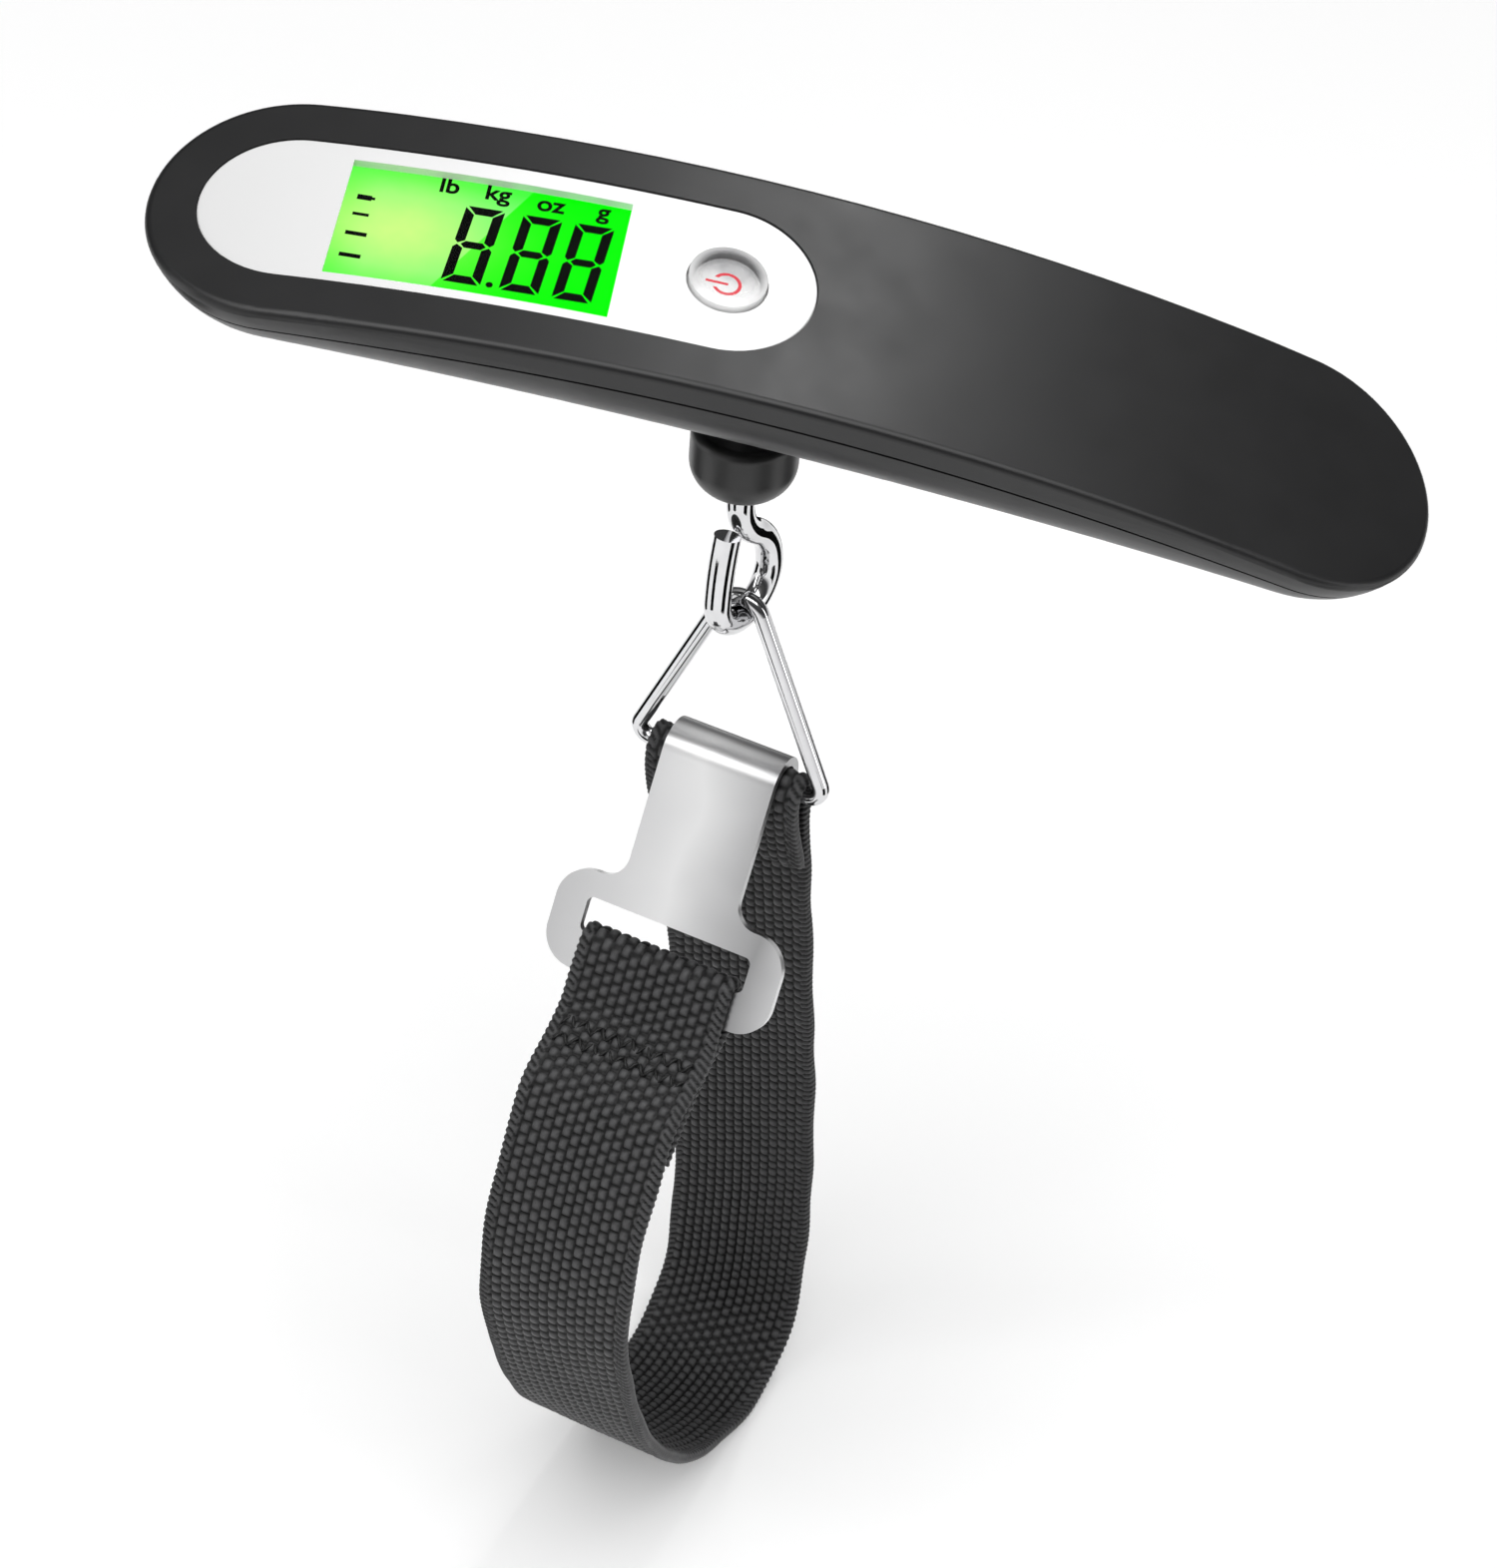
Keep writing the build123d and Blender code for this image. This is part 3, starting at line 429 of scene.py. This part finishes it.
# ---------------------------------------------------------------------- webbing
RING_N, BAR_Z, WIRE, T = -2.17, -75.4, 1.1, 1.4
LEAN, CURL_R, PLATE_T = rad(30.4), 3.5, 1.2
S_SLOT1, S_END = 26.4, 31.6
WRAP = WIRE + 0.07 + T / 2
loop = [
    (-7.3, -97.2), (-11.6, -119.2), (-14.4, -133.5), (-16.8, -148.0), (-18.5, -162.0),
    (-19.3, -176.0), (-18.7, -186.8), (-15.9, -193.6), (-10.3, -197.6), (-3.0, -198.0),
    (6.0, -194.6), (15.4, -188.2), (23.9, -178.9), (30.8, -167.2), (35.9, -155.0),
    (39.0, -144.2), (39.8, -134.3), (38.6, -126.3), (35.9, -118.9), (32.4, -112.6), (28.8, -108.1),
]
loop = [(f - RING_N, z) for f, z in loop]


def plate_pt(s, d):
    c, sn = math.cos(LEAN), math.sin(LEAN)
    return (CURL_R * c + s * sn + d * c, BAR_Z + CURL_R * sn - s * c + d * sn)


def catmull(p, n=16):
    out = []
    for i in range(len(p) - 1):
        p0, p1, p2, p3 = p[max(i - 1, 0)], p[i], p[i + 1], p[min(i + 2, len(p) - 1)]
        for k in range(n):
            t = k / n
            out.append([0.5 * (2 * p1[j] + (p2[j] - p0[j]) * t + (2 * p0[j] - 5 * p1[j] + 4 * p2[j] - p3[j]) * t * t + (3 * p1[j] - p0[j] - 3 * p2[j] + p3[j]) * t**3) for j in (0, 1)])
    out.append(list(p[-1]))
    return out


inside = catmull([(WRAP, BAR_Z), (WRAP - 0.15, BAR_Z - 2.5), (0.6, BAR_Z - 7.0), (-1.55, BAR_Z - 13.6)])[::-1]
fold = [[WRAP * math.cos(rad(a)), BAR_Z + WRAP * math.sin(rad(a))] for a in range(8, 180, 8)]
DD = PLATE_T / 2 + 0.12 + T / 2
main = catmull([(-WRAP, BAR_Z), (-WRAP - 0.25, BAR_Z - 6.0)] + loop + [plate_pt(S_END + 4.6, 2.15), plate_pt(S_END + 1.4, 1.5), plate_pt((S_SLOT1 + S_END) / 2, DD), plate_pt(S_SLOT1 + 0.6, DD)])
turn = [list(plate_pt(S_SLOT1 + 0.6 - DD * math.sin(rad(a)), DD * math.cos(rad(a)))) for a in range(12, 180, 12)]
tail = catmull([plate_pt(S_SLOT1 + 0.6, -DD), plate_pt(S_END - 0.6, -DD), plate_pt(S_END + 1.6, -DD + 0.15), plate_pt(S_END + 4.8, 0.75), (loop[-1][0] - 1.05, loop[-1][1] - 0.95), (loop[-2][0] - 1.20, loop[-2][1] - 0.75)])
path = np.array(inside + fold + main + turn + tail)
keep = np.r_[True, np.hypot(*np.diff(path, axis=0).T) > 1e-6]
path = path[keep]
arc = np.r_[0, np.cumsum(np.hypot(*np.diff(path, axis=0).T))]
TOTAL = arc[-1]
S_MAIN = arc[np.argmin(np.hypot(path[:, 0] - main[-1][0], path[:, 1] - main[-1][1]))]


def centre(s):
    s = np.asarray(s, float)
    f = np.interp(s, arc, path[:, 0])
    z = np.interp(s, arc, path[:, 1])
    e = 0.35
    f1, z1 = np.interp(s + e, arc, path[:, 0]), np.interp(s + e, arc, path[:, 1])
    f0, z0 = np.interp(s - e, arc, path[:, 0]), np.interp(s - e, arc, path[:, 1])
    tf, tz = f1 - f0, z1 - z0
    l = np.hypot(tf, tz)
    # the normal points to the left of travel: the inside of the loop
    return f, z, -tz / l, tf / l


WW = 22.0
h3, w3, n3 = np.array(HANG), np.array(W_DIR), np.array(N_DIR)


def place(s, u, d):
    """Point at arc length s, u across and d out of the middle towards the loop's inside."""
    f, z, nf, nz = centre(s)
    f = f + nf * d
    z = z + nz * d
    p = h3[None, :] + f[..., None] * n3 + u[..., None] * w3
    p[..., 2] += z
    return p * MM


def weave(s, u, side):
    """Height of the weave, 0 to 1: oval knots in staggered columns, finer at the selvedges."""
    pu, ps = 1.40, 1.70
    col = np.floor(u / pu + 0.5 * side)
    x = (u / pu + 0.5 * side) - col - 0.5
    y = s / ps + 0.5 * (np.abs(col) % 2) + 0.06 * np.sin(s * 0.9 + col * 1.7)
    y = y - np.floor(y) - 0.5
    a = np.sqrt(np.clip(1 - (x / 0.5) ** 2, 0, 1))
    c = np.sqrt(np.clip(1 - (np.abs(y) / 0.47) ** 2.0, 0, 1))
    k = a**0.8 * (0.06 + 0.94 * c)
    # selvedge: a braid along each edge
    e = np.clip((np.abs(u) - (WW / 2 - 1.5)) / 0.2, 0, 1)
    q = s / 1.0 + np.sign(u) * (np.abs(u) - WW / 2) * 0.55
    br = np.abs(np.sin(np.pi * q)) ** 0.7
    return k * (1 - e) + br * e


ns = int(TOTAL / 0.24)
S = np.linspace(0, TOTAL, ns)
U = np.linspace(-WW / 2, WW / 2, 95)
SS, UU = np.meshgrid(S, U, indexing="ij")
rngs = np.random.default_rng(7)
AMP = 0.58
sides, heights, uvs = [], [], []
edge_round = np.sqrt(np.clip(1 - (np.clip(np.abs(UU) - (WW / 2 - 0.55), 0, 0.55) / 0.55) ** 2, 0.02, 1))
end_round = np.sqrt(np.clip(1 - (np.clip(1 - np.minimum(SS, TOTAL - SS) / 0.5, 0, 1)) ** 2, 0.05, 1))
ripple = 0.10 * np.sin(SS * 0.21 + 0.6 * np.sin(UU * 0.3)) + 0.05 * np.sin(SS * 0.53 + UU * 0.4)
edge_wave = np.sign(UU) * np.clip((np.abs(UU) - (WW / 2 - 1.5)) / 1.5, 0, 1) * (0.10 * np.sin(SS * 2 * np.pi) + 0.12 * np.sin(SS * 0.37 + np.sign(UU)))
for side in (0, 1):
    h = weave(SS, UU, side)
    d = (T / 2 - 0.12 + AMP * (h - 0.45)) * edge_round * end_round
    d = d if side == 0 else -d
    calm = np.clip((SS - 26) / 8, 0, 1) * np.clip((S_MAIN - 14 - SS) / 8, 0, 1)
    P = place(SS, UU + edge_wave, d + ripple * calm)
    sides.append(P.reshape(-1, 3))
    heights.append(h.reshape(-1))
nu = len(U)
verts = np.concatenate(sides)
faces = []
idx = np.arange(ns * nu).reshape(ns, nu)
a, b_, c, d_ = idx[:-1, :-1].ravel(), idx[1:, :-1].ravel(), idx[1:, 1:].ravel(), idx[:-1, 1:].ravel()
o = ns * nu
quads = np.concatenate([np.stack([a, d_, c, b_], 1), np.stack([a + o, b_ + o, c + o, d_ + o], 1)])
rim = []
for j, flip in ((0, False), (nu - 1, True)):
    p, q = idx[:-1, j], idx[1:, j]
    rim.append(np.stack([p, q, q + o, p + o], 1) if not flip else np.stack([q, p, p + o, q + o], 1))
for i, flip in ((0, True), (ns - 1, False)):
    p, q = idx[i, :-1], idx[i, 1:]
    rim.append(np.stack([p, q, q + o, p + o], 1) if not flip else np.stack([q, p, p + o, q + o], 1))
quads = np.concatenate([quads] + rim)
me = bpy.data.meshes.new("webbing")
me.vertices.add(len(verts))
me.vertices.foreach_set("co", verts.ravel())
me.loops.add(len(quads) * 4)
me.loops.foreach_set("vertex_index", quads.ravel())
me.polygons.add(len(quads))
me.polygons.foreach_set("loop_start", np.arange(len(quads)) * 4)
me.polygons.foreach_set("use_smooth", np.ones(len(quads), bool))
me.update(calc_edges=True)
uvl = me.uv_layers.new(name="UVMap")
uvv = np.concatenate([np.stack([UU.ravel(), SS.ravel()], 1), np.stack([UU.ravel() + 40, SS.ravel()], 1)])
uvl.data.foreach_set("uv", uvv[quads.ravel()].astype(np.float32).ravel())
at = me.attributes.new("weave", "FLOAT", "POINT")
at.data.foreach_set("value", np.concatenate(heights).astype(np.float32))
me.validate()
webbing = bpy.data.objects.new("webbing", me)
sc.collection.objects.link(webbing)
give(webbing, M["webbing_black"])
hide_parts("webbing_back", "webbing_front")
dn = Vector((math.cos(rad(4)), 0, -math.sin(rad(4))))
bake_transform(webbing)


def tube(points, r, sides_n=6):
    pts = [Vector(p) for p in points]
    v, f = [], []
    for i, p in enumerate(pts):
        t = (pts[min(i + 1, len(pts) - 1)] - pts[max(i - 1, 0)]).normalized()
        x = t.orthogonal().normalized()
        y = t.cross(x)
        k = r * (0.6 if i in (0, len(pts) - 1) else 1.0)
        for j in range(sides_n):
            a = 2 * math.pi * j / sides_n
            v.append(p + (x * math.cos(a) + y * math.sin(a)) * k)
    for i in range(len(pts) - 1):
        for j in range(sides_n):
            k = (j + 1) % sides_n
            f.append([i * sides_n + j, i * sides_n + k, (i + 1) * sides_n + k, (i + 1) * sides_n + j])
    f.append(list(range(sides_n))[::-1])
    f.append([(len(pts) - 1) * sides_n + j for j in range(sides_n)])
    return v, f


def stitches(name, runs, body, outside=True):
    """Threads that rise out of the webbing and dive back, one after another."""
    V, F = [], []
    sgn = -1 if outside else 1
    for (s0, u0), (s1, u1) in runs:
        k = 7
        ss = np.linspace(s0, s1, k)
        us = np.linspace(u0, u1, k)
        dd = sgn * (T / 2 - 0.18 + 0.40 * np.sin(np.linspace(0, math.pi, k)))
        v, f = tube(place(ss, us, dd), 0.19 * MM)
        b = len(V)
        V += v
        F += [[i + b for i in q] for q in f]
    ob = new_mesh(name, V, F)
    give(ob, THREAD)
    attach(ob, body)
    return ob


def zigzag(s_mid, half, pitch=1.1):
    runs, u, k = [], -WW / 2 + 1.6, 0
    while u + pitch < WW / 2 - 1.4:
        a, c = (s_mid - half, s_mid + half) if k % 2 == 0 else (s_mid + half, s_mid - half)
        runs.append(((a, u), (c, u + pitch)))
        u += pitch
        k += 1
    return runs


# the two sewn ends: tack rows through both layers
stitches("stitch_plate", zigzag(S_MAIN - 11.0, 0.9) + zigzag(S_MAIN - 13.4, 0.8), "strap_plate")
s_back = arc[len(inside) + len(fold)]
stitches("stitch_ring", zigzag(s_back + 10.0, 0.9) + zigzag(s_back + 12.2, 0.8), "strap")

# ------------------------------------------------------------------- display marks
CAM_F = 4000.0
IW, IH = 1500, 1571
e_, y_, r_ = rad(34.15), rad(4.15), rad(4.89)
back = Vector((math.sin(y_) * math.cos(e_), -math.cos(y_) * math.cos(e_), math.sin(e_)))
cam_pos = back * 461.1
cam_tgt = Vector((-3.03 * math.cos(y_), -3.03 * math.sin(y_), -74.30))
fw = (cam_tgt - cam_pos).normalized()
rt = fw.cross(Vector((0, 0, 1))).normalized()
up = rt.cross(fw)
cam_x = math.cos(r_) * rt + math.sin(r_) * up
cam_y = -math.sin(r_) * rt + math.cos(r_) * up
LF = arch_frame(-39.12, -0.54)
Z_INK = -1.775

# digits as slanted seven-segment figures in the display's own x, y (mm)
SHEAR, Q = 0.0, 0.93


def seg_digit(x, y, w, h, lean, t=1.18, g=0.12):
    """Seven slanted bars of one figure; x, y is the lower left corner."""
    def pt(a, b):
        return (x + a + lean * b / h, y + b)

    hh = h / 2
    out = []
    # top, middle, bottom
    out.append([pt(g + 0.15, h), pt(w - g - 0.15, h), pt(w - t - g, h - t), pt(t + g, h - t)])
    m = hh
    out.append([pt(t * 0.5 + g + 0.1, m), pt(t + g, m + t * 0.45), pt(w - t - g, m + t * 0.45), pt(w - t * 0.5 - g - 0.1, m), pt(w - t - g, m - t * 0.45), pt(t + g, m - t * 0.45)])
    out.append([pt(t + g, t), pt(w - t - g, t), pt(w - g - 0.15, 0), pt(g + 0.15, 0)])
    # left and right, upper and lower
    out.append([pt(0, h - g - 0.1), pt(t, h - t - g), pt(t, m + t * 0.45 + g), pt(t * 0.35, m + g), pt(0, m + t * 0.5)])
    out.append([pt(w, h - g - 0.1), pt(w, m + t * 0.5), pt(w - t * 0.35, m + g), pt(w - t, m + t * 0.45 + g), pt(w - t, h - t - g)])
    out.append([pt(0, g + 0.1), pt(0, m - t * 0.5), pt(t * 0.35, m - g), pt(t, m - t * 0.45 - g), pt(t, t + g)])
    out.append([pt(w, g + 0.1), pt(w - t, t + g), pt(w - t, m - t * 0.45 - g), pt(w - t * 0.35, m - g), pt(w, m - t * 0.5)])
    return out


polys = []
for x0 in (-3.35, 3.35, 9.45):
    polys += seg_digit(x0, -6.45, 4.55, 12.2, 0.75)
# decimal point, battery sign, minus bar and two plain bars
polys.append([(2.22 + 0.42 * math.cos(k * math.pi / 6), -6.0 + 0.42 * math.sin(k * math.pi / 6)) for k in range(12)])
polys.append([(-15.2, 4.05), (-13.5, 4.05), (-13.5, 4.85), (-15.2, 4.85)])
polys.append([(-13.5, 4.25), (-13.1, 4.25), (-13.1, 4.65), (-13.5, 4.65)])
polys.append([(-15.2, 1.5), (-13.3, 1.5), (-13.3, 1.95), (-15.2, 1.95)])
for y0 in (-1.7, -5.2):
    polys.append([(-15.4, y0), (-12.9, y0), (-12.9, y0 + 0.6), (-15.4, y0 + 0.6)])
digits = slab("display_digits", polys, LF, Z_INK, Z_INK + 0.03)
give(digits, INK)
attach(digits, "housing")


def unit_mark(text, x, y, size):
    """A unit's abbreviation along the top of the display."""
    cu = bpy.data.curves.new("unit_" + text, "FONT")
    cu.body = text
    cu.size = size
    cu.align_x = "CENTER"
    cu.align_y = "CENTER"
    cu.extrude = 0.015
    cu.offset = 0.07
    cu.resolution_u = 6
    tmp = bpy.data.objects.new("unit_tmp", cu)
    sc.collection.objects.link(tmp)
    bpy.context.view_layer.update()
    me = bpy.data.meshes.new_from_object(tmp)
    bpy.data.objects.remove(tmp)
    me.name = "unit_" + text
    ob = bpy.data.objects.new("unit_" + text, me)
    sc.collection.objects.link(ob)
    sh = Matrix.Shear("XZ", 4, (0.0, 0.0))
    me.transform(LF @ Matrix.Translation((x, y, Z_INK + 0.01)))
    me.transform(Matrix.Scale(MM, 4))
    give(ob, INK)
    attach(ob, "housing")


for text, x, y in (("lb", -5.1, 8.0), ("kg", 0.6, 8.0), ("oz", 6.9, 7.55), ("g", 13.1, 7.75)):
    unit_mark(text, x, y + 0.35, 3.35)

# ------------------------------------------------------------------- stage
FLOOR_Z = -0.1996


def plane(name, cx, cy, z, sx, sy, mat):
    ob = new_mesh(name, [(cx - sx, cy - sy, z), (cx + sx, cy - sy, z), (cx + sx, cy + sy, z), (cx - sx, cy + sy, z)], [(0, 1, 2, 3)], False)
    give(ob, mat)
    return ob


floor_mat = surface("floor_pale", (0.90, 0.90, 0.90), (0.915, 0.915, 0.915), 0.75, 0.85, scale=2.0, spec=0.1)
fb = floor_mat.node_tree.nodes["Principled BSDF"]
fb.inputs["Emission Color"].default_value = (1, 1, 1, 1)
fb.inputs["Emission Strength"].default_value = 0.19
floor = plane("floor", 0, 0, FLOOR_Z, 12, 12, floor_mat)


def area(name, loc, target, w, h, power, color=(1, 1, 1)):
    la = bpy.data.lights.new(name, "AREA")
    la.shape = "RECTANGLE"
    la.size, la.size_y = w, h
    la.energy = power
    la.color = color
    ob = bpy.data.objects.new(name, la)
    sc.collection.objects.link(ob)
    ob.location = loc
    ob.rotation_mode = "QUATERNION"
    ob.rotation_quaternion = (Vector(target) - Vector(loc)).to_track_quat("-Z", "Y")
    return ob


area("key_top", (0.0, -0.45, 1.20), (0, 0.15, -0.2), 1.7, 1.2, 17.0)
area("soft_left", (-1.0, -0.30, 0.15), (0, 0, -0.08), 0.22, 0.9, 1.7)
area("soft_right", (1.0, -0.25, 0.15), (0, 0, -0.08), 0.20, 0.9, 1.7)
area("sheen_back", (0.20, 0.62, 0.92), (0.03, 0, 0), 0.13, 0.42, 2.1)
area("front_card", (-0.72, -0.93, 0.22), (0, 0, -0.09), 0.75, 0.65, 1.25)


def flag(name, az, width, r=0.17, z0=-0.196, z1=-0.10):
    """A dark card that only polished surfaces see. It stands round the hook, az degrees from the viewer."""
    cx, cy = HANG.x * MM, HANG.y * MM
    v = []
    for k in (-0.5, 0.5):
        t = rad(az + k * width)
        for z in (z0, z1):
            v.append((cx + r * math.sin(t), cy - r * math.cos(t), z))
    ob = new_mesh(name, v, [(0, 1, 3, 2)], False)
    give(ob, CARD)
    ob.visible_camera = False
    ob.visible_diffuse = False
    ob.visible_shadow = False
    ob.visible_transmission = False


CARD = surface("dark_card", (0.004, 0.004, 0.004), (0.008, 0.008, 0.008), 0.8, 0.9, scale=5.0, spec=0.0)
for i_, (az_, wd_) in enumerate(((-40, 24), (52, 30), (-104, 34), (116, 40), (174, 22))):
    flag("dark_card_%d" % i_, az_, wd_)

wd = bpy.data.worlds.new("studio")
sc.world = wd
wd.use_nodes = True
wn = wd.node_tree
bg = wn.nodes["Background"]
tc = wn.nodes.new("ShaderNodeTexCoord")
sx = wn.nodes.new("ShaderNodeSeparateXYZ")
link(wn, tc.outputs["Generated"], sx.inputs[0])
link(wn, ramp(wn, rng(wn, sx.outputs[2], 0, 1, -0.2, 1.0), [(0.0, (0.30, 0.30, 0.31)), (0.30, (0.05, 0.05, 0.052)), (0.6, (0.10, 0.10, 0.10)), (1.0, (0.55, 0.55, 0.55))]), bg.inputs["Color"])
bg.inputs["Strength"].default_value = 0.9

cam = bpy.data.cameras.new("camera")
cam.sensor_fit = "HORIZONTAL"
cam.sensor_width = 36.0
cam.lens = 96.0
cam.clip_start, cam.clip_end = 0.01, 50
co = bpy.data.objects.new("camera", cam)
sc.collection.objects.link(co)
rot = Matrix((cam_x, cam_y, -fw)).transposed()
co.matrix_world = Matrix.Translation(cam_pos * MM) @ rot.to_4x4()
sc.camera = co
sc.view_settings.view_transform = "Standard"
sc.view_settings.look = "None"
